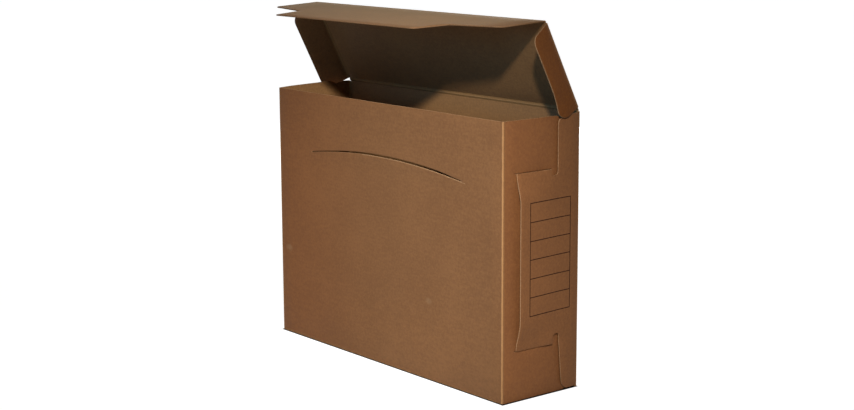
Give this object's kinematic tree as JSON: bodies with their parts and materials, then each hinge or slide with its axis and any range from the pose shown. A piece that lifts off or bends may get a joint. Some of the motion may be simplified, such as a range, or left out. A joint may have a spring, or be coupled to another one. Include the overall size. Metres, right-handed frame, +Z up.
{
  "type": "archive box",
  "caption": "Upright kraft board archive box, folded from one sheet, with hinged lid, tucking front flap, lid ears and locked end flaps.",
  "frame": {"origin": "middle of the underside of the base", "axes": "+X along the length towards the end with the printed table, +Y from the front panel to the back panel, +Z up"},
  "size_m": [0.3632, 0.1359, 0.3335],
  "materials": {
    "kraft_board": "matte brown solid kraft board, fine mottled grain",
    "worn_fold": "matte kraft board rubbed paler along a scored fold"
  },
  "bodies": {
    "box": {"bottom_panel": "kraft_board", "front_panel": "kraft_board", "back_panel": "kraft_board", "front_bottom_crease": "worn_fold", "back_bottom_crease": "worn_fold", "lid_crease": "worn_fold", "right_inner_end_flap": "kraft_board", "left_inner_end_flap": "kraft_board", "right_bottom_flap": "kraft_board", "left_bottom_flap": "kraft_board", "right_front_crease": "worn_fold", "left_front_crease": "worn_fold", "right_back_crease": "worn_fold", "left_back_crease": "worn_fold", "right_bottom_crease": "worn_fold", "left_bottom_crease": "worn_fold"},
    "lid": {"lid_panel": "kraft_board", "lid_front_crease": "worn_fold", "right_ear_crease": "worn_fold", "left_ear_crease": "worn_fold"},
    "front_flap": {"lid_front_flap": "kraft_board"},
    "right_ear": {"right_lid_ear": "kraft_board"},
    "left_ear": {"left_lid_ear": "kraft_board"},
    "right_end_flap": {"right_outer_end_flap": "kraft_board"},
    "left_end_flap": {"left_outer_end_flap": "kraft_board"}
  },
  "joints": [
    {"name": "lid_hinge", "type": "hinge", "parent": "box", "child": "lid", "pos_m": [0, 0.0445, 0.2525], "axis": [-1, 0, 0], "range_deg": [-63, 150]},
    {"name": "front_flap_hinge", "type": "hinge", "parent": "lid", "child": "front_flap", "pos_m": [0, 0.0035, 0.33296], "axis": [1, 0, 0], "range_deg": [-66, 24]},
    {"name": "right_ear_hinge", "type": "hinge", "parent": "lid", "child": "right_ear", "pos_m": [0.1695, 0.0445, 0.2525], "axis": [0, 0.454, -0.891], "range_deg": [-72, 66]},
    {"name": "left_ear_hinge", "type": "hinge", "parent": "lid", "child": "left_ear", "pos_m": [-0.1695, 0.0445, 0.2525], "axis": [0, -0.454, 0.891], "range_deg": [-60, 78]},
    {"name": "right_end_flap_hinge", "type": "hinge", "parent": "box", "child": "right_end_flap", "pos_m": [0.1695, 0.0445, 0.125], "axis": [0, 0, 1], "range_deg": [0, 100]},
    {"name": "left_end_flap_hinge", "type": "hinge", "parent": "box", "child": "left_end_flap", "pos_m": [-0.1695, 0.0445, 0.125], "axis": [0, 0, -1], "range_deg": [0, 100]}
  ]
}
